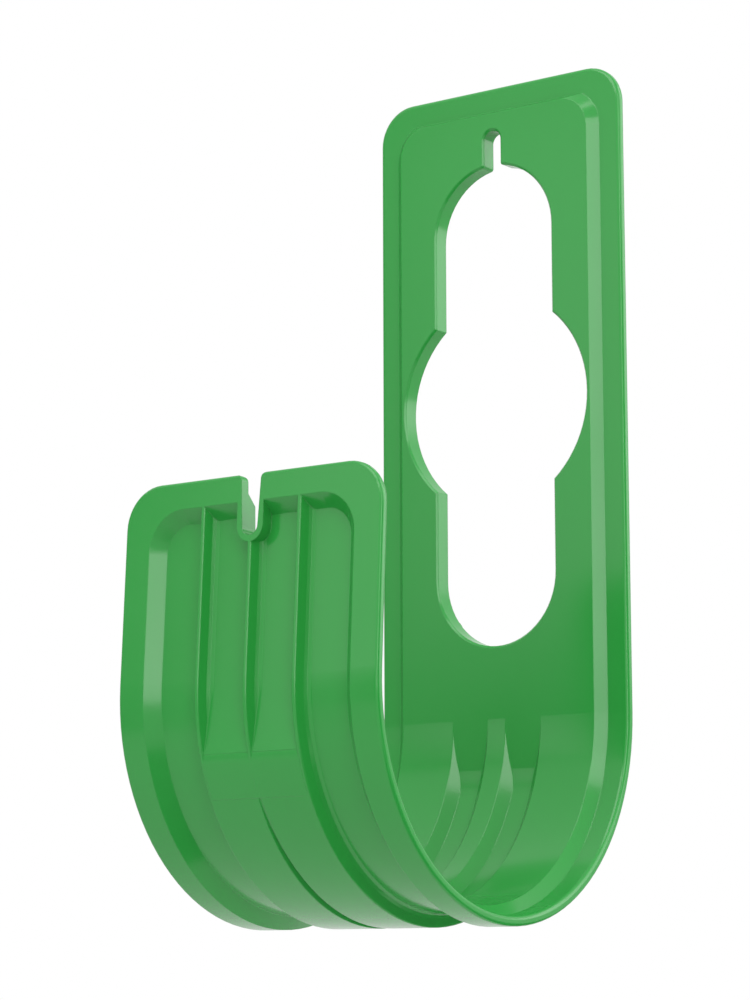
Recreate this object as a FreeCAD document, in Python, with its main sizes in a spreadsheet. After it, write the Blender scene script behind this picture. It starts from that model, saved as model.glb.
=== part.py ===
"""Hose hanger: one moulded strip bent into a J, hung on a nail by its wall plate.

Millimetres. X runs across the strip, Y towards the wall, Z up. While the part is built, Z is zero at
the centre of the bend and Y is zero at the wall; the body's placement then moves the seat of the
nail to the origin.
"""
import FreeCAD, Part
import math
import os
import Sketcher

NODE = "hose_hanger"
NEAR = 1e-3

# Driving sizes: name, value, meaning
SIZES = (
    ("strip_width", 90.0, "width of the strip"),
    ("bend_radius", 63.5, "outer radius of the bend"),
    ("plate_height", 198.7, "bend centre to the plate's top"),
    ("lip_length", 56.2, "end of the bend to the lip's top, along the lip"),
    ("lip_lean", 3.0, "lean of the lip towards the plate, degrees"),
    ("corner_radius", 12.0, "corners of the plate's top and of the lip"),
    ("rim_wall", 3.0, "thickness of the rim"),
    ("panel_wall", 2.2, "thickness of the raised panel"),
    ("panel_step", 3.0, "rise of the panel above the rim's inner face"),
    ("inner_edge_round", 1.3, "round on the rim's inner edge"),
    ("outer_edge_round", 1.0, "round on the rim's outer edge"),
    ("side_rim", 7.0, "rim beside the raised panel"),
    ("panel_bevel", 3.15, "run of the bevel round the raised panel"),
    ("plate_rim", 7.8, "rim above the raised panel, on the plate"),
    ("plate_bevel", 1.4, "run of the steeper bevel at the plate's top"),
    ("lip_rim", 5.0, "rim above the raised panel, on the lip"),
    ("panel_corner", 9.5, "corners of the raised panel"),
    ("side_rim_out", 9.0, "rim beside the recess"),
    ("plate_rim_out", 9.5, "rim above the recess, on the plate"),
    ("lip_rim_out", 7.8, "rim above the recess, on the lip"),
    ("recess_bevel", 3.7, "run of the bevel round the recess"),
    ("recess_corner", 8.0, "corners of the recess's floor"),
    ("rib_spacing", 16.9, "middle rib to outer rib"),
    ("rib_wall", 1.3, "thickness of a rib at its top"),
    ("rib_flank", 1.4, "run of a rib's sloping side"),
    ("rib_round", 0.3, "chamfer on a rib's top edges"),
    ("rib_hollow", 1.2, "reach of the hollow at a rib's root"),
    ("ridge_half", 3.2, "half the ridge between the channels"),
    ("channel_edge", 16.0, "middle to a channel's far edge"),
    ("channel_slope", 3.2, "run of a channel's sloping side"),
    ("channel_turn", 20.0, "hollow where a channel's floor turns into the bend"),
    ("band_turn", 35.0, "round where the flush bands turn into the bend"),
    ("groove_depth", 2.0, "depth of the groove between the flush bands"),
    ("groove_start", 26.0, "where the groove begins, below the end of the bend, degrees"),
    ("groove_floor", 0.3, "half the groove's floor"),
    ("groove_slope", 0.6, "run of the groove's side for each millimetre of depth"),
    ("notch_half", 2.75, "radius at the bottom of the lip's notch"),
    ("notch_mouth", 3.4, "half the width of the notch's mouth"),
    ("notch_depth", 17.3, "depth of the lip's notch below the lip's top"),
    ("notch_corner", 2.0, "round at the notch's mouth"),
    ("notch_wall", 1.85, "wall round the notch"),
    ("slot_half", 21.55, "half the width of the cut-out's slot"),
    ("slot_low", 43.75, "height of the lower end's centre"),
    ("slot_high", 151.2, "height of the upper end's centre"),
    ("circle_radius", 33.6, "radius of the cut-out's wide part"),
    ("circle_height", 97.4, "height of the wide part's centre"),
    ("collar_wall", 2.0, "wall of the collar behind the cut-out"),
    ("collar_gap", 0.3, "collar to the wall plane"),
    ("cutout_chamfer", 0.6, "chamfer on the cut-out's front edge"),
    ("nail_half", 3.1, "half the width of the nail slot"),
    ("nail_top", 184.1, "height of the nail slot's top"),
    ("nail_round", 1.0, "round where the nail slot meets the cut-out"),
    ("overlap", 0.8, "how far joined shapes reach into each other"),
)

doc = FreeCAD.newDocument(NODE)
sheet = doc.addObject("Spreadsheet::Sheet", "Size")
for row, (alias, number, meaning) in enumerate(SIZES, start=1):
    sheet.set(f"A{row}", meaning)
    sheet.set(f"B{row}", str(number))
    sheet.setAlias(f"B{row}", alias)
doc.recompute()

body = doc.addObject("PartDesign::Body", NODE)
body.Label = NODE
origin = {feature.Role: feature for feature in body.Origin.OriginFeatures}

# Derived sizes, as expressions of the sheet
PANEL = "(Size.rim_wall + Size.panel_step)"
RECESS = f"({PANEL} - Size.panel_wall)"
MID_PANEL = f"({PANEL} - Size.panel_wall / 2)"
MID_RIM = "(Size.rim_wall / 2)"
HALF = "(Size.strip_width / 2)"
LEAN = "(Size.lip_lean * 1 deg)"


def value(expression):
    """The number an expression gives now."""
    result = sheet.evalExpression(str(expression))
    return float(getattr(result, "Value", result))


def sketch_on(name, role, shift=None, lean=None):
    """A sketch on one of the body's origin planes, moved by expressions and leaned by an angle."""
    sketch = body.newObject("Sketcher::SketchObject", name)
    sketch.AttachmentSupport = [(origin[role], "")]
    sketch.MapMode = "FlatFace"
    if lean:
        axis, angle = lean
        turn = FreeCAD.Rotation(FreeCAD.Vector(*axis), value(angle))
        sketch.AttachmentOffset = FreeCAD.Placement(FreeCAD.Vector(), turn)
        sketch.setExpression("AttachmentOffset.Rotation.Angle", angle)
    for direction, expression in (shift or {}).items():
        sketch.setExpression(f"AttachmentOffset.Base.{direction}", expression)
    return sketch


def bind(sketch, expression, *constraint):
    """A dimension whose number follows an expression."""
    index = sketch.addConstraint(Sketcher.Constraint(*constraint, value(expression)))
    sketch.setExpression(f"Constraints[{index}]", expression)


def relate(sketch, *relations):
    """Geometric relations without a number."""
    for relation in relations:
        sketch.addConstraint(Sketcher.Constraint(*relation))


def place(sketch, point, across, up):
    """Ties a point to its two coordinates in the sketch."""
    bind(sketch, across, "DistanceX", -1, 1, *point)
    bind(sketch, up, "DistanceY", -1, 1, *point)


def bind_angle(sketch, expression, line):
    """The angle of a line above the sketch's horizontal."""
    index = sketch.addConstraint(Sketcher.Constraint("Angle", line, math.radians(value(expression))))
    sketch.setExpression(f"Constraints[{index}]", expression)


def outline(sketch, corners):
    """The sketch with a closed outline of straight edges through corners given as expressions."""
    spots = [FreeCAD.Vector(value(across), value(up), 0) for across, up in corners]
    lines = [sketch.addGeometry(Part.LineSegment(spot, spots[(index + 1) % len(spots)]))
             for index, spot in enumerate(spots)]
    for index, line in enumerate(lines):
        relate(sketch, ("Coincident", line, 2, lines[(index + 1) % len(lines)], 1))
        place(sketch, (line, 1), *corners[index])
    return sketch


def arc(centre, radius, start, stop):
    """A circular arc between two angles in degrees."""
    circle = Part.Circle(centre, FreeCAD.Vector(0, 0, 1), radius)
    return Part.ArcOfCircle(circle, math.radians(start), math.radians(stop))


def lip_directions():
    """Unit vectors outward from and up along the lip, in a side profile."""
    lean = math.radians(value("Size.lip_lean"))
    return (FreeCAD.Vector(-math.cos(lean), math.sin(lean), 0),
            FreeCAD.Vector(math.sin(lean), math.cos(lean), 0))


def j_sketch(name, station, outer, inner, plate_end, lip_end):
    """Side profile of the J between two offsets from its outer face.

    The ends are a height on the plate and a length on the lip.
    """
    sketch = sketch_on(name, "YZ_Plane", {"x": "-Size.bend_radius", "z": station})
    outer_radius = value(f"Size.bend_radius - {outer}")
    inner_radius = value(f"Size.bend_radius - {inner}")
    top, length, lean = (value(size) for size in (plate_end, lip_end, "Size.lip_lean"))
    out, along = lip_directions()
    point, middle = FreeCAD.Vector, FreeCAD.Vector()
    lip_outer = out * outer_radius + along * length
    lip_inner = out * inner_radius + along * length
    for shape in (Part.LineSegment(point(outer_radius, top, 0), point(outer_radius, 0, 0)),
                  arc(middle, outer_radius, 180 - lean, 360),
                  Part.LineSegment(out * outer_radius, lip_outer),
                  Part.LineSegment(lip_outer, lip_inner),
                  Part.LineSegment(lip_inner, out * inner_radius),
                  arc(middle, inner_radius, 180 - lean, 360),
                  Part.LineSegment(point(inner_radius, 0, 0), point(inner_radius, top, 0)),
                  Part.LineSegment(point(inner_radius, top, 0), point(outer_radius, top, 0))):
        sketch.addGeometry(shape)
    relate(sketch,
           ("Coincident", 1, 3, -1, 1), ("Coincident", 5, 3, -1, 1),
           ("Tangent", 0, 2, 1, 2), ("Tangent", 1, 1, 2, 1),
           ("Coincident", 2, 2, 3, 1), ("Coincident", 3, 2, 4, 1),
           ("Tangent", 4, 2, 5, 1), ("Tangent", 5, 2, 6, 1),
           ("Coincident", 6, 2, 7, 1), ("Coincident", 7, 2, 0, 1),
           ("Vertical", 0), ("Vertical", 6), ("Horizontal", 7),
           ("Parallel", 2, 4), ("Perpendicular", 3, 2))
    bind(sketch, f"Size.bend_radius - {outer}", "Radius", 1)
    bind(sketch, f"Size.bend_radius - {inner}", "Radius", 5)
    bind_angle(sketch, f"90 deg - {LEAN}", 2)
    bind(sketch, plate_end, "DistanceY", -1, 1, 0, 1)
    bind(sketch, lip_end, "Distance", 4)
    return sketch


def band_sketch(name, inner, end):
    """Side profile of the flush bands: the recess's planes run on and turn into the rim's outer arc."""
    sketch = sketch_on(name, "YZ_Plane", {"x": "-Size.bend_radius"})
    radius, turn, height, lean = (value(size) for size in ("Size.bend_radius", "Size.band_turn", end,
                                                           "Size.lip_lean"))
    plane = value(f"Size.bend_radius - {RECESS}")
    inner_radius = value(f"Size.bend_radius - {inner}")
    drop = math.sqrt((radius - turn) ** 2 - (plane - turn) ** 2)
    sweep = math.degrees(math.atan2(drop, plane - turn))
    out, along = lip_directions()
    point, middle = FreeCAD.Vector, FreeCAD.Vector()
    lip_outer = out * plane + along * height
    lip_inner = out * inner_radius + along * height
    for shape in (Part.LineSegment(point(plane, height, 0), point(plane, -drop, 0)),
                  arc(point(plane - turn, -drop, 0), turn, -sweep, 0),
                  arc(middle, radius, 180 - lean + sweep, 360 - sweep),
                  arc(out * (plane - turn) - along * drop, turn, 180 - lean, 180 - lean + sweep),
                  Part.LineSegment(out * plane - along * drop, lip_outer),
                  Part.LineSegment(lip_outer, lip_inner),
                  Part.LineSegment(lip_inner, out * inner_radius),
                  arc(middle, inner_radius, 180 - lean, 360),
                  Part.LineSegment(point(inner_radius, 0, 0), point(inner_radius, height, 0)),
                  Part.LineSegment(point(inner_radius, height, 0), point(plane, height, 0))):
        sketch.addGeometry(shape)
    relate(sketch,
           ("Coincident", 2, 3, -1, 1), ("Coincident", 7, 3, -1, 1),
           ("Tangent", 0, 2, 1, 2), ("Tangent", 1, 1, 2, 2), ("Tangent", 2, 1, 3, 2),
           ("Tangent", 3, 1, 4, 1), ("Coincident", 4, 2, 5, 1), ("Coincident", 5, 2, 6, 1),
           ("Tangent", 6, 2, 7, 1), ("Tangent", 7, 2, 8, 1),
           ("Coincident", 8, 2, 9, 1), ("Coincident", 9, 2, 0, 1),
           ("Vertical", 0), ("Vertical", 8), ("Horizontal", 9), ("Equal", 1, 3),
           ("Parallel", 4, 6), ("Perpendicular", 5, 4))
    bind(sketch, "Size.band_turn", "Radius", 1)
    bind(sketch, "Size.bend_radius", "Radius", 2)
    bind(sketch, f"Size.bend_radius - {inner}", "Radius", 7)
    bind_angle(sketch, f"90 deg - {LEAN}", 4)
    bind(sketch, f"Size.bend_radius - {RECESS}", "DistanceX", -1, 1, 0, 1)
    bind(sketch, f"Size.bend_radius - {RECESS}", "Distance", -1, 1, 4)
    bind(sketch, end, "DistanceY", -1, 1, 0, 1)
    bind(sketch, end, "Distance", 6)
    return sketch


def feature(kind, name, profile, numbers=None, **options):
    """A feature of the body made from a sketch, with its sizes bound; it must change the volume."""
    before = body.Shape.Volume if body.Tip else 0.0
    made = body.newObject(f"PartDesign::{kind}", name)
    made.Profile = (profile, [""])
    for key, option in options.items():
        setattr(made, key, option)
    for key, expression in (numbers or {}).items():
        made.setExpression(key, expression)
    doc.recompute()
    if abs(body.Shape.Volume - before) < 1e-3:
        raise RuntimeError(f"{name} changes nothing")
    return made


def trim_edges(kind, name, size, chosen):
    """A fillet or a chamfer on the edges of the tip that a test chooses."""
    base = body.Tip
    picked = [f"Edge{index}" for index, edge in enumerate(base.Shape.Edges, start=1) if chosen(edge)]
    if not picked:
        raise RuntimeError(f"{name} finds no edge")
    made = body.newObject(f"PartDesign::{kind}", name)
    made.Base = (base, picked)
    made.setExpression({"Fillet": "Radius", "Chamfer": "Size"}[kind], size)
    doc.recompute()
    return made


def ends(edge):
    """First and last point of an edge."""
    return edge.Vertexes[0].Point, edge.Vertexes[-1].Point


def is_cross_edge(edge, offset):
    """Whether an edge crosses the strip at the plate's top, at an offset from the wall."""
    top = value("Size.plate_height")
    return all(abs(point.z - top) < NEAR and abs(point.y + offset) < NEAR for point in ends(edge))


def offset_of(point):
    """How far a point lies inside the outer face of the J."""
    radius = value("Size.bend_radius")
    lean = math.radians(value("Size.lip_lean"))
    across = point.y + radius
    if across > 0 and point.z >= 0:
        return radius - across
    if across < 0 and across * math.sin(lean) + point.z * math.cos(lean) >= 0:
        return radius + across * math.cos(lean) - point.z * math.sin(lean)
    return radius - math.hypot(across, point.z)


def is_level(edge):
    """Whether an edge runs straight across the strip."""
    first, last = ends(edge)
    return abs(first.x - last.x) > NEAR and math.hypot(first.y - last.y, first.z - last.z) < NEAR


def front_sketch(name, offset):
    """A sketch parallel to the plate, at an offset in front of the wall plane."""
    return sketch_on(name, "XZ_Plane", {"z": offset})


def lip_sketch(name, offset):
    """A sketch parallel to the lip, at an offset inside its outer face; zero is the end of the bend."""
    reach = f"(Size.bend_radius - {offset})"
    return sketch_on(name, "XZ_Plane",
                     {"y": f"{reach} * sin({LEAN})", "z": f"Size.bend_radius + {reach} * cos({LEAN})"},
                     ((-1, 0, 0), LEAN))


def bend_sketch(name):
    """A sketch across the strip where the bend begins; up is the radius of the bend."""
    return sketch_on(name, "XY_Plane", {"y": "-Size.bend_radius"})


def rounded(sketch, half_width, bottom, top, radius):
    """A rectangle with round corners, symmetric about the upright axis."""
    wide, low, high, corner = (value(size) for size in (half_width, bottom, top, radius))
    point = FreeCAD.Vector
    for shape in (Part.LineSegment(point(-wide + corner, low, 0), point(wide - corner, low, 0)),
                  arc(point(wide - corner, low + corner, 0), corner, 270, 360),
                  Part.LineSegment(point(wide, low + corner, 0), point(wide, high - corner, 0)),
                  arc(point(wide - corner, high - corner, 0), corner, 0, 90),
                  Part.LineSegment(point(wide - corner, high, 0), point(-wide + corner, high, 0)),
                  arc(point(-wide + corner, high - corner, 0), corner, 90, 180),
                  Part.LineSegment(point(-wide, high - corner, 0), point(-wide, low + corner, 0)),
                  arc(point(-wide + corner, low + corner, 0), corner, 180, 270)):
        sketch.addGeometry(shape)
    for side in range(8):
        follower = (side + 1) % 8
        relate(sketch, ("Tangent", side, 2, follower, 1))
    relate(sketch, ("Horizontal", 0), ("Vertical", 2), ("Horizontal", 4), ("Vertical", 6),
           ("Equal", 1, 3), ("Equal", 1, 5), ("Equal", 1, 7))
    bind(sketch, radius, "Radius", 1)
    bind(sketch, half_width, "DistanceX", -1, 1, 2, 1)
    bind(sketch, f"-({half_width})", "DistanceX", -1, 1, 6, 1)
    bind(sketch, bottom, "DistanceY", -1, 1, 0, 1)
    bind(sketch, top, "DistanceY", -1, 1, 4, 1)
    return sketch


def stadium(sketch, half_width, low, high):
    """A slot with round ends, symmetric about the upright axis, between two centres."""
    wide, bottom, top = (value(size) for size in (half_width, low, high))
    point = FreeCAD.Vector
    for shape in (Part.LineSegment(point(wide, bottom, 0), point(wide, top, 0)),
                  arc(point(0, top, 0), wide, 0, 180),
                  Part.LineSegment(point(-wide, top, 0), point(-wide, bottom, 0)),
                  arc(point(0, bottom, 0), wide, 180, 360)):
        sketch.addGeometry(shape)
    relate(sketch, ("Tangent", 0, 2, 1, 1), ("Tangent", 1, 2, 2, 1), ("Tangent", 2, 2, 3, 1),
           ("Tangent", 3, 2, 0, 1), ("Vertical", 0), ("PointOnObject", 1, 3, -2))
    bind(sketch, half_width, "Radius", 1)
    bind(sketch, low, "DistanceY", -1, 1, 3, 3)
    bind(sketch, high, "DistanceY", -1, 1, 1, 3)
    return sketch


def cup(sketch, half_width, low, top):
    """An upright slot with a round bottom and a flat top, symmetric about the upright axis."""
    wide, bottom, high = (value(size) for size in (half_width, low, top))
    point = FreeCAD.Vector
    for shape in (arc(point(0, bottom, 0), wide, 180, 360),
                  Part.LineSegment(point(wide, bottom, 0), point(wide, high, 0)),
                  Part.LineSegment(point(wide, high, 0), point(-wide, high, 0)),
                  Part.LineSegment(point(-wide, high, 0), point(-wide, bottom, 0))):
        sketch.addGeometry(shape)
    relate(sketch, ("Tangent", 0, 2, 1, 1), ("Coincident", 1, 2, 2, 1), ("Coincident", 2, 2, 3, 1),
           ("Tangent", 3, 2, 0, 1), ("Vertical", 1), ("Vertical", 3), ("Horizontal", 2),
           ("PointOnObject", 0, 3, -2))
    bind(sketch, half_width, "Radius", 0)
    bind(sketch, low, "DistanceY", -1, 1, 0, 3)
    bind(sketch, top, "DistanceY", -1, 1, 1, 2)
    return sketch


def flared_cup(sketch, half_width, mouth, low, top, flare):
    """A cup that widens towards its mouth, which flares out with a round and opens above its top."""
    wide, half_mouth, bottom, high, turn = (value(size) for size in (half_width, mouth, low, top, flare))
    above = high + value("Size.overlap")
    far = half_mouth + turn
    point = FreeCAD.Vector
    reach = math.hypot(far, high - turn - bottom)
    tilt = math.acos((wide + turn) / reach) - math.atan2(high - turn - bottom, far)
    out = point(math.cos(tilt), -math.sin(tilt), 0)
    back = point(-math.cos(tilt), -math.sin(tilt), 0)
    slant = math.degrees(tilt)
    base, right, left = point(0, bottom, 0), point(far, high - turn, 0), point(-far, high - turn, 0)
    for shape in (arc(base, wide, 180 + slant, 360 - slant),
                  Part.LineSegment(base + out * wide, right - out * turn),
                  arc(right, turn, 90, 180 - slant),
                  Part.LineSegment(point(far, high, 0), point(far, above, 0)),
                  Part.LineSegment(point(far, above, 0), point(-far, above, 0)),
                  Part.LineSegment(point(-far, above, 0), point(-far, high, 0)),
                  arc(left, turn, slant, 90),
                  Part.LineSegment(left - back * turn, base + back * wide)):
        sketch.addGeometry(shape)
    relate(sketch, ("Tangent", 0, 2, 1, 1), ("Tangent", 1, 2, 2, 2), ("Coincident", 2, 1, 3, 1),
           ("Coincident", 3, 2, 4, 1), ("Coincident", 4, 2, 5, 1), ("Coincident", 5, 2, 6, 2),
           ("Tangent", 6, 1, 7, 1), ("Tangent", 7, 2, 0, 1),
           ("Vertical", 3), ("Vertical", 5), ("Horizontal", 4),
           ("Vertical", 2, 3, 2, 1), ("Vertical", 6, 3, 6, 2), ("Equal", 2, 6),
           ("PointOnObject", 0, 3, -2))
    bind(sketch, half_width, "Radius", 0)
    bind(sketch, flare, "Radius", 2)
    bind(sketch, f"{mouth} + {flare}", "DistanceX", -1, 1, 2, 3)
    bind(sketch, f"-({mouth} + {flare})", "DistanceX", -1, 1, 6, 3)
    bind(sketch, low, "DistanceY", -1, 1, 0, 3)
    bind(sketch, top, "DistanceY", -1, 1, 2, 1)
    bind(sketch, top, "DistanceY", -1, 1, 6, 2)
    bind(sketch, f"{top} + Size.overlap", "DistanceY", -1, 1, 3, 2)
    return sketch


def disc(sketch, radius, height):
    """A circle on the upright axis."""
    circle = Part.Circle(FreeCAD.Vector(0, value(height), 0), FreeCAD.Vector(0, 0, 1), value(radius))
    sketch.addGeometry(circle)
    relate(sketch, ("PointOnObject", 0, 3, -2))
    bind(sketch, radius, "Radius", 0)
    bind(sketch, height, "DistanceY", -1, 1, 0, 3)
    return sketch


# Rim strip
feature("Pad", "rim_strip",
        j_sketch("rim_profile", "0", "0", "Size.rim_wall", "Size.plate_height", "Size.lip_length"),
        {"Length": "Size.strip_width"}, Midplane=True)
rim_wall = value("Size.rim_wall")
half = value(HALF)
trim_edges("Fillet", "rim_corners", "Size.corner_radius",
           lambda edge: abs(edge.Length - rim_wall) < NEAR
           and all(abs(abs(point.x) - half) < NEAR for point in ends(edge)))
trim_edges("Fillet", "rim_inner_round", "Size.inner_edge_round", lambda edge: is_cross_edge(edge, rim_wall))
trim_edges("Fillet", "rim_outer_round", "Size.outer_edge_round", lambda edge: is_cross_edge(edge, 0))

# Raised panel: plate, bend and lip, each with the same bevel, started inside the rim
RISE = "(Size.panel_step + Size.rim_wall / 2)"
GROW = f"({RISE} * Size.panel_bevel / Size.panel_step)"
PANEL_HALF = f"({HALF} - Size.side_rim - Size.panel_bevel)"
PANEL_TOP = "(Size.plate_height - Size.plate_rim - Size.plate_bevel)"
LIP_PANEL_TOP = "(Size.lip_length - Size.lip_rim - Size.panel_bevel)"
PANEL_SLOPE = "atan(Size.panel_bevel / Size.panel_step)"
panel_section = outline(bend_sketch("bend_panel_section"),
                        ((f"-({PANEL_HALF} + {GROW})", f"Size.bend_radius - {MID_RIM}"),
                         (f"{PANEL_HALF} + {GROW}", f"Size.bend_radius - {MID_RIM}"),
                         (PANEL_HALF, f"Size.bend_radius - {PANEL}"),
                         (f"-{PANEL_HALF}", f"Size.bend_radius - {PANEL}")))
feature("Revolution", "bend_panel", panel_section, {"Angle": f"180 deg + {LEAN}"},
        ReferenceAxis=(panel_section, ["H_Axis"]), Reversed=True)
panel_foot = f"(Size.panel_corner + {GROW})"
plate_panel = rounded(front_sketch("plate_panel_outline", MID_RIM), f"({PANEL_HALF} + {GROW})",
                      f"-{panel_foot}", f"{PANEL_TOP} + {GROW}", panel_foot)
feature("Pad", "plate_panel", plate_panel, {"Length": RISE, "TaperAngle": f"-{PANEL_SLOPE}"})
lip_panel = rounded(lip_sketch("lip_panel_outline", MID_RIM), f"({PANEL_HALF} + {GROW})",
                    f"-{panel_foot}", f"{LIP_PANEL_TOP} + {GROW}", panel_foot)
feature("Pad", "lip_panel", lip_panel, {"Length": RISE, "TaperAngle": f"-{PANEL_SLOPE}"}, Reversed=True)
top_run = "Size.plate_bevel / Size.panel_step"
top_trim = outline(sketch_on("panel_top_outline", "YZ_Plane", {"x": "0"}),
                   (("-Size.rim_wall", f"{PANEL_TOP} + Size.plate_bevel"),
                    ("-Size.rim_wall", "Size.plate_height"),
                    (f"-({PANEL} + Size.overlap)", "Size.plate_height"),
                    (f"-({PANEL} + Size.overlap)", f"{PANEL_TOP} - Size.overlap * {top_run}")))
feature("Pocket", "panel_top", top_trim, {"Length": "Size.strip_width"}, Midplane=True)

# Recess behind the raised panel
CUT = f"({RECESS} + Size.overlap)"
GROW_OUT = f"({CUT} * Size.recess_bevel / {RECESS})"
RECESS_HALF = f"({HALF} - Size.side_rim_out - Size.recess_bevel)"
RECESS_TOP = "(Size.plate_height - Size.plate_rim_out - Size.recess_bevel)"
LIP_RECESS_TOP = "(Size.lip_length - Size.lip_rim_out - Size.recess_bevel)"
RECESS_SLOPE = f"atan(Size.recess_bevel / {RECESS})"
recess_section = outline(bend_sketch("bend_recess_section"),
                         ((f"-({RECESS_HALF} + {GROW_OUT})", "Size.bend_radius + Size.overlap"),
                          (f"{RECESS_HALF} + {GROW_OUT}", "Size.bend_radius + Size.overlap"),
                          (RECESS_HALF, f"Size.bend_radius - {RECESS}"),
                          (f"-{RECESS_HALF}", f"Size.bend_radius - {RECESS}")))
feature("Groove", "bend_recess", recess_section, {"Angle": f"180 deg + {LEAN}"},
        ReferenceAxis=(recess_section, ["H_Axis"]), Reversed=True)
recess_foot = f"(Size.recess_corner + {GROW_OUT})"
plate_recess = rounded(front_sketch("plate_recess_outline", "-Size.overlap"),
                       f"({RECESS_HALF} + {GROW_OUT})", f"-{recess_foot}",
                       f"{RECESS_TOP} + {GROW_OUT}", recess_foot)
feature("Pocket", "plate_recess", plate_recess,
        {"Length": CUT, "TaperAngle": f"-{RECESS_SLOPE}"}, Reversed=True)
lip_recess = rounded(lip_sketch("lip_recess_outline", "-Size.overlap"),
                     f"({RECESS_HALF} + {GROW_OUT})", f"-{recess_foot}",
                     f"{LIP_RECESS_TOP} + {GROW_OUT}", recess_foot)
feature("Pocket", "lip_recess", lip_recess, {"Length": CUT, "TaperAngle": f"-{RECESS_SLOPE}"})

# Ribs behind the panel, from the lip's rim round the bend to the cut-out
RIB_FOOT = "(Size.rib_wall / 2 + Size.rib_flank)"
RIB_BEND = f"({RECESS} - Size.rib_hollow)"
RIB_RUN = f"(Size.rib_flank * ({RIB_BEND} - Size.rib_round) / ({RECESS} - Size.rib_round))"
rib_plate = "(Size.slot_low - Size.slot_half / 2)"
rib_lip = "(Size.lip_length - Size.lip_rim_out + Size.overlap / 2)"
rib_steps = ((f"({RIB_FOOT} + Size.rib_hollow + Size.overlap * 5 / 3)", f"({RECESS} + Size.overlap / 2)"),
             (f"({RIB_FOOT} + Size.rib_hollow / 6)", f"({RECESS} - Size.rib_hollow / 4)"),
             (f"(Size.rib_wall / 2 + {RIB_RUN})", RIB_BEND),
             ("(Size.rib_wall / 2)", "Size.rib_round"),
             ("(Size.rib_wall / 2 - Size.rib_round)", "0"))
rib_sections = [
    j_sketch(f"rib_{side}_{index}", f"-Size.rib_spacing {sign} {reach}", outer, MID_PANEL,
             rib_plate, rib_lip)
    for side, sign, steps in (("left", "-", rib_steps), ("right", "+", rib_steps[::-1]))
    for index, (reach, outer) in enumerate(steps, start=1)]
rib = feature("AdditiveLoft", "rib", rib_sections[0], Sections=rib_sections[1:], Ruled=True)
ribs = body.newObject("PartDesign::LinearPattern", "ribs")
ribs.Originals = [rib]
ribs.Direction = (origin["X_Axis"], [""])
ribs.Occurrences = 3
ribs.setExpression("Length", "2 * Size.rib_spacing")
body.Tip = ribs
doc.recompute()

# Notch in the lip with its wall
notch_low = "(Size.lip_length - Size.notch_depth + Size.notch_half)"
notch_wall = cup(lip_sketch("notch_wall_outline", "0"), "(Size.notch_half + Size.notch_wall)",
                 notch_low, rib_lip)
feature("Pad", "notch_wall", notch_wall, {"Length": MID_PANEL}, Reversed=True)
notch = flared_cup(lip_sketch("notch_outline", "0"), "Size.notch_half", "Size.notch_mouth", notch_low,
                   "Size.lip_length", "Size.notch_corner")
feature("Pocket", "notch", notch, {"Length": f"{PANEL} + Size.overlap"})

# Cut-out for the tap and slot for the nail, with the collars behind them
collar = f"{MID_PANEL} - Size.collar_gap"
nail_seat = "(Size.nail_top - Size.nail_half)"
feature("Pad", "slot_collar",
        stadium(front_sketch("slot_collar_outline", "Size.collar_gap"),
                "(Size.slot_half + Size.collar_wall)", "Size.slot_low", "Size.slot_high"),
        {"Length": collar})
feature("Pad", "circle_collar",
        disc(front_sketch("circle_collar_outline", "Size.collar_gap"),
             "(Size.circle_radius + Size.collar_wall)", "Size.circle_height"),
        {"Length": collar})
feature("Pad", "nail_collar",
        stadium(front_sketch("nail_collar_outline", "Size.collar_gap"),
                "(Size.nail_half + Size.collar_wall)", "Size.slot_high", nail_seat),
        {"Length": collar})
through = {"Length": f"{PANEL} + 2 * Size.overlap"}
feature("Pocket", "slot",
        stadium(front_sketch("slot_outline", "-Size.overlap"), "Size.slot_half", "Size.slot_low",
                "Size.slot_high"), through, Reversed=True)
feature("Pocket", "circle",
        disc(front_sketch("circle_outline", "-Size.overlap"), "Size.circle_radius",
             "Size.circle_height"), through, Reversed=True)
feature("Pocket", "nail_slot",
        stadium(front_sketch("nail_slot_outline", "-Size.overlap"), "Size.nail_half",
                "Size.slot_high", nail_seat), through, Reversed=True)

# Flush bands between the ribs, with a groove that fades in along the bend
bands = band_sketch("band_profile", MID_PANEL, "(2 * Size.overlap)")
feature("Pad", "bands", bands, {"Length": "2 * Size.rib_spacing"}, Midplane=True)
GROOVE_SHIFT = "(Size.groove_depth / (1 - sin(Size.groove_start * 1 deg)))"
GROOVE_FLOOR = f"(Size.bend_radius - Size.groove_depth + {GROOVE_SHIFT})"
GROOVE_REACH = f"({GROOVE_FLOOR} + Size.groove_depth + Size.overlap)"
groove_half = "(Size.groove_floor + Size.groove_slope * (Size.groove_depth + Size.overlap))"
groove = outline(sketch_on("groove_section", "XZ_Plane", {"y": GROOVE_SHIFT, "z": "Size.bend_radius"}),
                 (("-Size.groove_floor", f"-{GROOVE_FLOOR}"),
                  (f"-{groove_half}", f"-{GROOVE_REACH}"),
                  (groove_half, f"-{GROOVE_REACH}"),
                  ("Size.groove_floor", f"-{GROOVE_FLOOR}")))
feature("Groove", "band_groove", groove, {"Angle": "180 deg - Size.groove_start * 1 deg"},
        ReferenceAxis=(groove, ["H_Axis"]), Midplane=True)

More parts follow.
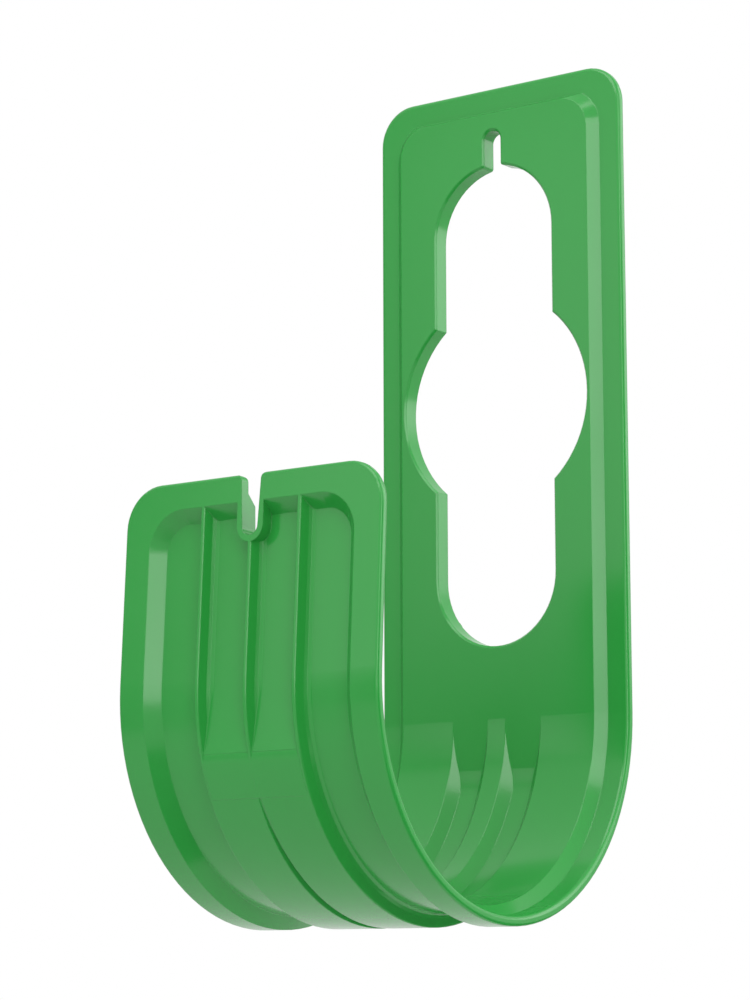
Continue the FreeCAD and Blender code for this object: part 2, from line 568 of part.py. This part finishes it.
# Channels inside the bend, closed at both ends by the panel's planes
channel_run = "Size.channel_slope / Size.panel_step"
channel = outline(bend_sketch("channel_section"),
                  ((f"Size.ridge_half - Size.overlap * {channel_run}",
                    f"Size.bend_radius - {PANEL} - Size.overlap"),
                   (f"Size.channel_edge + Size.overlap * {channel_run}",
                    f"Size.bend_radius - {PANEL} - Size.overlap"),
                   ("Size.channel_edge - Size.channel_slope", "Size.bend_radius - Size.rim_wall"),
                   ("Size.ridge_half + Size.channel_slope", "Size.bend_radius - Size.rim_wall")))
right_channel = feature("Groove", "right_channel", channel, {"Angle": f"180 deg + {LEAN}"},
                        ReferenceAxis=(channel, ["H_Axis"]), Reversed=True)
channels = body.newObject("PartDesign::Mirrored", "channels")
channels.Originals = [right_channel]
channels.MirrorPlane = (origin["YZ_Plane"], [""])
body.Tip = channels
doc.recompute()
channel_drop = f"sqrt((Size.bend_radius - Size.rim_wall) ^ 2 - (Size.bend_radius - {PANEL}) ^ 2)"
band_drop = f"sqrt(Size.bend_radius ^ 2 - (Size.bend_radius - {RECESS}) ^ 2)"
closing_drop = f"(({channel_drop} + {band_drop}) / 2)"
for name, side, lean in (("plate", "", None), ("lip", "-", ((0, 0, -1), LEAN))):
    front, back = (f"{side}(Size.bend_radius - {offset})" for offset in (PANEL, RECESS))
    closing = outline(sketch_on(f"{name}_closing_outline", "YZ_Plane", {"x": "-Size.bend_radius"}, lean),
                      ((front, "Size.overlap"), (front, f"-{closing_drop}"),
                       (back, f"-{closing_drop}"), (back, "Size.overlap")))
    feature("Pad", f"{name}_closing", closing, {"Length": "2 * (Size.channel_edge + Size.overlap)"},
            Midplane=True)
channel_edge = value("Size.channel_edge")
trim_edges("Fillet", "channel_turns", "Size.channel_turn",
           lambda edge: is_level(edge) and abs(ends(edge)[0].x) < channel_edge and ends(edge)[0].z < 0
           and abs(offset_of(ends(edge)[0]) - rim_wall) < NEAR)

# Softened edges of the nail slot and of the cut-out's front
nail_half = value("Size.nail_half")
nail_foot = value("Size.slot_high + sqrt(Size.slot_half ^ 2 - Size.nail_half ^ 2)")
trim_edges("Fillet", "nail_mouth", "Size.nail_round",
           lambda edge: all(abs(abs(spot.x) - nail_half) < NEAR and abs(spot.z - nail_foot) < NEAR
                            for spot in ends(edge)))
panel_depth = value(PANEL)
cutout_half = value("Size.circle_radius")
cutout_low = value("Size.slot_low - Size.slot_half")
cutout_top = value("Size.nail_top")
trim_edges("Chamfer", "cutout_edges", "Size.cutout_chamfer",
           lambda edge: all(abs(spot.y + panel_depth) < NEAR and abs(spot.x) < cutout_half + NEAR
                            and cutout_low - NEAR < spot.z < cutout_top + NEAR
                            for spot in edge.discretize(5)))

# The nail's seat on the wall becomes the origin
body.setExpression("Placement.Base.z", f"-{nail_seat}")
doc.recompute()

broken = [item.Name for item in doc.Objects if {"Invalid", "Error"} & set(item.State)]
if broken or body.Shape.isNull() or not body.Shape.isValid() or len(body.Shape.Solids) != 1:
    raise RuntimeError(f"the part isn't one sound solid: {broken}")
os.makedirs("parts", exist_ok=True)
body.Shape.exportStep(f"parts/{NODE}.step")
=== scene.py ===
"""Hose hanger in green moulded plastic, seen from below in a white studio."""
import math

import bpy
from bpy.props import FloatProperty, FloatVectorProperty, PointerProperty, StringProperty
from mathutils import Matrix, Vector


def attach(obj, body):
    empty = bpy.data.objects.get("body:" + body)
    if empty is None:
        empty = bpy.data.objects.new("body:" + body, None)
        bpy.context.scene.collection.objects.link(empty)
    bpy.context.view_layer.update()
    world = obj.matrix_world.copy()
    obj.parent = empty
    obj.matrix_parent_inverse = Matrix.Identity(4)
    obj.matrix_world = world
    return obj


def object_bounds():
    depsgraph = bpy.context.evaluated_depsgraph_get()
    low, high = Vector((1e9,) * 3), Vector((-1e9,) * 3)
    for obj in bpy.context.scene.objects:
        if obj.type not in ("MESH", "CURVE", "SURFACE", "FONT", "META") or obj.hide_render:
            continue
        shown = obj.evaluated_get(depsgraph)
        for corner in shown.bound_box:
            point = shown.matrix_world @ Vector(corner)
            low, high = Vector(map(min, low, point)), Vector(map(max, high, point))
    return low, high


bl_info = {
    "name": "Hose Hanger",
    "version": (1, 0, 0),
    "blender": (4, 5, 0),
    "location": "3D View > Sidebar > Hanger",
    "description": "Finish, rounded turns and studio for a moulded plastic hose hanger",
    "category": "Object",
}

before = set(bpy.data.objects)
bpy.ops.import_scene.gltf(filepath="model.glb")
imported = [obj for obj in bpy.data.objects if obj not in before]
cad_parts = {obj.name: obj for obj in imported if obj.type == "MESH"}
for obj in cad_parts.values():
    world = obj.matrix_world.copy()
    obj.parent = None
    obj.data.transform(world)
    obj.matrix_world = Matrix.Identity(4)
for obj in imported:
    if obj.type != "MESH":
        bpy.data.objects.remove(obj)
CAD_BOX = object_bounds()
HANGER = "hose_hanger"
PLASTIC = "moulded_polypropylene"
MM = 0.001
WHITE = "#FFFFFF"
# Roughness of matt paper and paint
MATT = 0.9
# Values between which a noise pattern mostly lies
NOISE_LOW = 0.3
NOISE_HIGH = 0.7
# Steps along each arc of a skin, and the angle up to which its edges are shaded smooth
ARC_STEPS = 8
SMOOTH_ANGLE = math.radians(30)
# Watts for each square metre of a lamp's face that make it look white
WHITE_WATTS = 4
# Side of the film that the lens belongs to, in millimetres
FILM_SIDE = 36.0
# Lamps, in metres: name, spot, width and height, brightness of the face
SOFTBOXES = (
    ("right_softbox", (2.02, -1.51, 0.645), (0.80, 1.44), 2.6),
    ("back_right_softbox", (0.74, 0.45, 0.30), (0.9, 0.8), 1.7),
    ("front_left_softbox", (-0.49, -1.10, 0.16), (0.62, 0.40), 0.35),
    ("top_softbox", (0.10, -0.70, 0.80), (0.9, 0.9), 2.05),
)
# Boards that shape the reflections, in metres: name, spot, width and height, colour
BOARDS = (
    ("left_flag", (-1.375, -0.923, 0.10), (1.16, 1.1), "#B4B4B4"),
    ("low_flag", (-1.80, -4.728, -0.03), (2.64, 0.93), "#666666"),
    ("right_flag", (1.00, -0.09, -0.10), (1.0, 0.62), "#2A2A2A"),
    ("right_low_flag", (0.22, -0.13, -0.39), (0.5, 0.30), "#2A2A2A"),
    ("back_low_flag", (0.16, 0.17, -0.41), (0.35, 0.25), "#2A2A2A"),
)


def linear(colour):
    """An sRGB hex colour as linear red, green, blue and alpha."""
    def channel(start):
        part = int(colour[start:start + 2], 16) / 255
        return part / 12.92 if part <= 0.04045 else ((part + 0.055) / 1.055) ** 2.4
    return (*(channel(start) for start in (1, 3, 5)), 1.0)


def add_node(tree, kind, settings=None, values=None):
    """Adds one node; settings are its own, values are numbers or sockets for its inputs."""
    node = tree.nodes.new(kind)
    for key, setting in (settings or {}).items():
        setattr(node, key, setting)
    for key, value in (values or {}).items():
        if isinstance(value, bpy.types.NodeSocket):
            tree.links.new(value, node.inputs[key])
        else:
            node.inputs[key].default_value = value
    return node


class HangerFinish(bpy.types.PropertyGroup):
    """The plastic's colour and surface."""
    green: StringProperty(name="Green", description="Colour of the plastic, sRGB hex", default="#28923A")
    pale_green: StringProperty(name="Pale green", default="#2B963E",
                               description="Colour where the melt cooled slower, sRGB hex")
    roughness: FloatProperty(name="Roughness", description="Roughness of the polished skin",
                             default=0.14, min=0, max=1, subtype="FACTOR")
    flow_roughness: FloatProperty(name="Flow roughness", description="Roughness on the melt's flow marks",
                                  default=0.19, min=0, max=1, subtype="FACTOR")
    flow_size: FloatProperty(name="Flow size", description="Size of the melt's flow marks",
                             default=38 * MM, unit="LENGTH")
    skin_size: FloatProperty(name="Skin size", description="Size of the skin's fine unevenness",
                             default=1.6 * MM, unit="LENGTH")
    skin_depth: FloatProperty(name="Skin depth", description="Depth of the skin's fine unevenness",
                              default=0.05 * MM, unit="LENGTH")
    edge_round: FloatProperty(name="Edge round", description="Round on the moulded edges",
                              default=0.4 * MM, unit="LENGTH")


class HangerTurn(bpy.types.PropertyGroup):
    """The skins that round the outer planes into the bend."""
    bend_radius: FloatProperty(name="Bend radius", description="Outer radius of the bend",
                               default=63.5 * MM, unit="LENGTH")
    plane_depth: FloatProperty(name="Plane depth", description="Depth of the planes inside the outer face",
                               default=3.8 * MM, unit="LENGTH")
    ledge_drop: FloatProperty(name="Ledge drop", description="Drop from the bend's middle to the ledge",
                              default=20.2 * MM, unit="LENGTH")
    lean: FloatProperty(name="Lean", description="Lean of the lip towards the plate",
                        default=math.radians(3), subtype="ANGLE")
    end: FloatProperty(name="End", description="Angle round the bend at which a skin ends",
                       default=math.radians(30.5), subtype="ANGLE")
    width: FloatProperty(name="Width", description="Width of a skin, from outer rib to outer rib",
                         default=33.4 * MM, unit="LENGTH")
    start: FloatProperty(name="Start", description="Flat start above the ledge",
                         default=1.0 * MM, unit="LENGTH")
    sink: FloatProperty(name="Sink", description="How far a skin lies under the faces that it meets",
                        default=0.004 * MM, unit="LENGTH")
    wall: FloatProperty(name="Wall", description="Thickness of a skin",
                        default=0.9 * MM, unit="LENGTH")


class HangerStudio(bpy.types.PropertyGroup):
    """The studio's floor, fill light and camera."""
    floor_drop: FloatProperty(name="Floor drop", description="Floor below the hanger",
                              default=0.22, unit="LENGTH")
    floor_side: FloatProperty(name="Floor side", description="Side of the floor",
                              default=40.0, unit="LENGTH")
    floor_colour: StringProperty(name="Floor colour", description="Colour of the floor, sRGB hex",
                                 default="#DEDEDC")
    floor_lift: FloatProperty(name="Floor lift", default=0.6, min=0, max=1, subtype="FACTOR",
                              description="How far the floor is lifted to white for the eye and the gloss")
    fill: FloatProperty(name="Fill", description="Strength of the light from all round",
                        default=0.70, min=0)
    camera_spot: FloatVectorProperty(name="Camera", description="Place of the camera", size=3,
                                     default=(0.505462, -0.746961, -0.258966), subtype="TRANSLATION")
    camera_turn: FloatVectorProperty(name="Camera turn", size=3, subtype="EULER",
                                     description="Pitch, roll and yaw of the camera",
                                     default=(math.radians(99.197), math.radians(-0.146),
                                              math.radians(36.636)))
    lens: FloatProperty(name="Lens", description="Focal length on the film's side, in millimetres",
                        default=106.795, min=1)


def polypropylene(finish):
    """Polypropylene, injection moulded against a polished mould."""
    # To the eye: one saturated green, a soft wide gloss, faint duller flow marks, a skin not quite even
    material = bpy.data.materials.new(PLASTIC)
    material.use_nodes = True
    tree = material.node_tree
    tree.nodes.clear()
    place = add_node(tree, "ShaderNodeTexCoord").outputs["Object"]
    flow = add_node(tree, "ShaderNodeTexNoise", {"noise_dimensions": "3D"},
                    {"Vector": place, "Scale": 1 / finish.flow_size, "Detail": 1.0, "Roughness": 0.4})
    skin = add_node(tree, "ShaderNodeTexNoise", {"noise_dimensions": "3D"},
                    {"Vector": place, "Scale": 1 / finish.skin_size, "Detail": 2.0, "Roughness": 0.55})
    colour = add_node(tree, "ShaderNodeMix", {"data_type": "RGBA"},
                      {0: flow.outputs["Fac"], 6: linear(finish.green), 7: linear(finish.pale_green)})
    gloss = add_node(tree, "ShaderNodeMapRange", None,
                     {"Value": flow.outputs["Fac"], "From Min": NOISE_LOW, "From Max": NOISE_HIGH,
                      "To Min": finish.roughness, "To Max": finish.flow_roughness})
    edge = add_node(tree, "ShaderNodeBevel", {"samples": 6}, {"Radius": finish.edge_round})
    relief = add_node(tree, "ShaderNodeBump", None,
                      {"Height": skin.outputs["Fac"], "Strength": 0.04, "Distance": finish.skin_depth,
                       "Normal": edge.outputs["Normal"]})
    surface = add_node(tree, "ShaderNodeBsdfPrincipled", None,
                       {"Base Color": colour.outputs[2], "Roughness": gloss.outputs["Result"],
                        "IOR": 1.49, "Normal": relief.outputs["Normal"]})
    add_node(tree, "ShaderNodeOutputMaterial", None, {"Surface": surface.outputs["BSDF"]})
    return material


class HANGER_OT_finish(bpy.types.Operator):
    """Gives the moulded strip its plastic"""
    bl_idname = "hanger.finish"
    bl_label = "Finish Hanger"

    def execute(self, context):
        plastic = polypropylene(context.scene.hanger_finish)
        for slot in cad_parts[HANGER].material_slots:
            slot.material = plastic
        return {"FINISHED"}


class HANGER_OT_turns(bpy.types.Operator):
    """Rounds the flat planes into the bend, over the ledges behind the plate and on the lip"""
    bl_idname = "hanger.turns"
    bl_label = "Round Turns"

    def execute(self, context):
        turn = context.scene.hanger_turn
        low, high = CAD_BOX
        bend_middle = Vector((0, high.y - turn.bend_radius, low.z + turn.bend_radius))
        # The turn's arc leaves the plane at the ledge and runs smoothly into the bend's outer face
        plane = turn.bend_radius - turn.plane_depth
        radius = (turn.bend_radius ** 2 - plane ** 2 - turn.ledge_drop ** 2) / (2 * turn.plane_depth)
        if radius <= 0:
            raise ValueError("The ledge lies too low for a turn")
        sweep = math.atan2(turn.ledge_drop, plane - radius)
        turn_middle = bend_middle + Vector((0, plane - radius, -turn.ledge_drop))

        # A short flat start above the ledge, then the turn's arc, then the bend's own arc
        bpy.ops.object.select_all(action="DESELECT")
        flat = bend_middle + Vector((0, plane - turn.sink, turn.start / 2 - turn.ledge_drop))
        bpy.ops.mesh.primitive_plane_add(size=1.0, location=flat, rotation=(-math.pi / 2, 0, 0))
        plate_skin = context.object
        plate_skin.name = "plate_turn"
        plate_skin.scale = (turn.width, turn.start, 1.0)
        bpy.ops.object.transform_apply(location=True, rotation=True, scale=True)
        mesh = plate_skin.data
        for item in (*mesh.vertices, *mesh.edges, *mesh.polygons):
            item.select = False
        for edge in mesh.edges:
            edge.select = all(mesh.vertices[index].co.z < flat.z for index in edge.vertices)
        bpy.ops.object.mode_set(mode="EDIT")
        bpy.ops.mesh.spin(steps=ARC_STEPS, angle=sweep, center=turn_middle, axis=(1, 0, 0))
        bpy.ops.mesh.spin(steps=ARC_STEPS, angle=turn.end - sweep, center=bend_middle, axis=(1, 0, 0))
        bpy.ops.object.mode_set(mode="OBJECT")
        wall = plate_skin.modifiers.new("wall", "SOLIDIFY")
        wall.thickness = turn.wall
        wall.offset = -1.0
        bpy.ops.object.modifier_apply(modifier=wall.name)
        bpy.ops.object.shade_smooth_by_angle(angle=SMOOTH_ANGLE)
        mesh.materials.append(bpy.data.materials[PLASTIC])

        # The lip's skin is the plate's, turned half round and leaned with the lip
        lip_skin = plate_skin.copy()
        lip_skin.data = mesh.copy()
        lip_skin.name = "lip_turn"
        context.scene.collection.objects.link(lip_skin)
        lip_skin.data.transform(Matrix.Translation(bend_middle) @ Matrix.Rotation(-turn.lean, 4, "X")
                                @ Matrix.Rotation(math.pi, 4, "Z") @ Matrix.Translation(-bend_middle))
        for piece in (plate_skin, lip_skin):
            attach(piece, "root")
        return {"FINISHED"}


def aim(thing, spot):
    """Puts a thing at a spot, with its front, minus Z, towards the hanger's middle."""
    middle = (CAD_BOX[0] + CAD_BOX[1]) / 2
    thing.location = spot
    thing.rotation_euler = (middle - Vector(spot)).to_track_quat("-Z", "Y").to_euler()


def softbox(name, spot, size, brightness):
    """A rectangular lamp whose face has a brightness, where 1 looks white."""
    data = bpy.data.lights.new(name, "AREA")
    data.shape = "RECTANGLE"
    data.size, data.size_y = size
    data.energy = WHITE_WATTS * brightness * data.size * data.size_y
    light = bpy.data.objects.new(name, data)
    bpy.context.scene.collection.objects.link(light)
    aim(light, spot)


def board(name, spot, size, colour):
    """A matt painted board that faces the hanger and is only seen in its gloss."""
    bpy.ops.mesh.primitive_plane_add(size=1.0)
    plane = bpy.context.object
    plane.name = name
    plane.scale = (*size, 1.0)
    aim(plane, spot)
    plane.visible_camera = False
    plane.visible_diffuse = False
    plane.visible_shadow = False
    paint = bpy.data.materials.new(f"{name}_paint")
    paint.use_nodes = True
    shader = paint.node_tree.nodes["Principled BSDF"]
    shader.inputs["Base Color"].default_value = linear(colour)
    shader.inputs["Roughness"].default_value = MATT
    plane.data.materials.append(paint)


def seen_rays(tree):
    """A socket that is 1 for what is seen directly, in the gloss or through glass, and else 0."""
    path = add_node(tree, "ShaderNodeLightPath")
    direct = add_node(tree, "ShaderNodeMath", {"operation": "MAXIMUM"},
                      {0: path.outputs["Is Camera Ray"], 1: path.outputs["Is Transmission Ray"]})
    seen = add_node(tree, "ShaderNodeMath", {"operation": "MAXIMUM"},
                    {0: path.outputs["Is Glossy Ray"], 1: direct.outputs["Value"]})
    return seen.outputs["Value"]


def studio_paper(studio):
    """Matt studio paper that is seen nearly white without throwing more light on the hanger."""
    paper = bpy.data.materials.new("studio_paper")
    paper.use_nodes = True
    tree = paper.node_tree
    tree.nodes.clear()
    lift = add_node(tree, "ShaderNodeMath", {"operation": "MULTIPLY"},
                    {0: seen_rays(tree), 1: studio.floor_lift})
    matt = add_node(tree, "ShaderNodeBsdfPrincipled", None,
                    {"Base Color": linear(studio.floor_colour), "Roughness": MATT})
    white = add_node(tree, "ShaderNodeEmission", None, {"Color": linear(WHITE), "Strength": 1.0})
    both = add_node(tree, "ShaderNodeMixShader", None,
                    {0: lift.outputs["Value"], 1: matt.outputs["BSDF"], 2: white.outputs["Emission"]})
    add_node(tree, "ShaderNodeOutputMaterial", None, {"Surface": both.outputs["Shader"]})
    return paper


def surroundings(studio):
    """A world that looks white and lights the hanger with a weaker fill."""
    world = bpy.data.worlds.new("studio_surroundings")
    world.use_nodes = True
    tree = world.node_tree
    tree.nodes.clear()
    fill = add_node(tree, "ShaderNodeBackground", None, {"Color": linear(WHITE), "Strength": studio.fill})
    white = add_node(tree, "ShaderNodeBackground", None, {"Color": linear(WHITE), "Strength": 1.0})
    both = add_node(tree, "ShaderNodeMixShader", None,
                    {0: seen_rays(tree), 1: fill.outputs["Background"], 2: white.outputs["Background"]})
    add_node(tree, "ShaderNodeOutputWorld", None, {"Surface": both.outputs["Shader"]})
    return world


def photo_camera(studio):
    """The camera at the photograph's viewing angle."""
    data = bpy.data.cameras.new("photo_camera")
    data.sensor_width = FILM_SIDE
    data.lens = studio.lens
    camera = bpy.data.objects.new("photo_camera", data)
    bpy.context.scene.collection.objects.link(camera)
    pitch, roll, yaw = studio.camera_turn
    camera.matrix_world = (Matrix.Translation(studio.camera_spot)
                           @ Matrix.Rotation(yaw, 4, "Z") @ Matrix.Rotation(pitch, 4, "X")
                           @ Matrix.Rotation(roll, 4, "Z"))
    return camera


class HANGER_OT_studio(bpy.types.Operator):
    """Builds the white studio round the hanger: floor, surroundings, lamps, boards and camera"""
    bl_idname = "hanger.studio"
    bl_label = "Build Studio"

    def execute(self, context):
        studio = context.scene.hanger_studio
        low, high = CAD_BOX
        middle = (low + high) / 2
        context.scene.view_settings.view_transform = "Standard"
        bpy.ops.object.select_all(action="DESELECT")
        bpy.ops.mesh.primitive_plane_add(size=studio.floor_side,
                                         location=(middle.x, middle.y, low.z - studio.floor_drop))
        floor = context.object
        floor.name = "studio_floor"
        floor.data.materials.append(studio_paper(studio))
        context.scene.world = surroundings(studio)
        for name, spot, size, brightness in SOFTBOXES:
            softbox(name, spot, size, brightness)
        for name, spot, size, colour in BOARDS:
            board(name, spot, size, colour)
        context.scene.camera = photo_camera(studio)
        return {"FINISHED"}


class HANGER_PT_sidebar(bpy.types.Panel):
    """Lists the hanger's settings and steps"""
    bl_idname = "HANGER_PT_sidebar"
    bl_label = "Hose Hanger"
    bl_space_type = "VIEW_3D"
    bl_region_type = "UI"
    bl_category = "Hanger"

    def draw(self, context):
        scene = context.scene
        for group in (scene.hanger_finish, scene.hanger_turn, scene.hanger_studio):
            box = self.layout.box()
            for name in group.bl_rna.properties.keys():
                if name not in ("rna_type", "name"):
                    box.prop(group, name)
        for operator in (HANGER_OT_finish, HANGER_OT_turns, HANGER_OT_studio):
            self.layout.operator(operator.bl_idname)


CLASSES = (HangerFinish, HangerTurn, HangerStudio, HANGER_OT_finish, HANGER_OT_turns, HANGER_OT_studio,
           HANGER_PT_sidebar)


def register():
    """Registers the classes and hangs the settings on the scene."""
    for item in CLASSES:
        bpy.utils.register_class(item)
    bpy.types.Scene.hanger_finish = PointerProperty(type=HangerFinish)
    bpy.types.Scene.hanger_turn = PointerProperty(type=HangerTurn)
    bpy.types.Scene.hanger_studio = PointerProperty(type=HangerStudio)


def unregister():
    """Takes the settings off the scene and the classes out again."""
    del bpy.types.Scene.hanger_studio
    del bpy.types.Scene.hanger_turn
    del bpy.types.Scene.hanger_finish
    for item in reversed(CLASSES):
        bpy.utils.unregister_class(item)


def main():
    """Finishes the hanger, rounds its turns and builds the studio."""
    register()
    bpy.ops.hanger.finish()
    bpy.ops.hanger.turns()
    bpy.ops.hanger.studio()


if __name__ == "__main__":
    main()
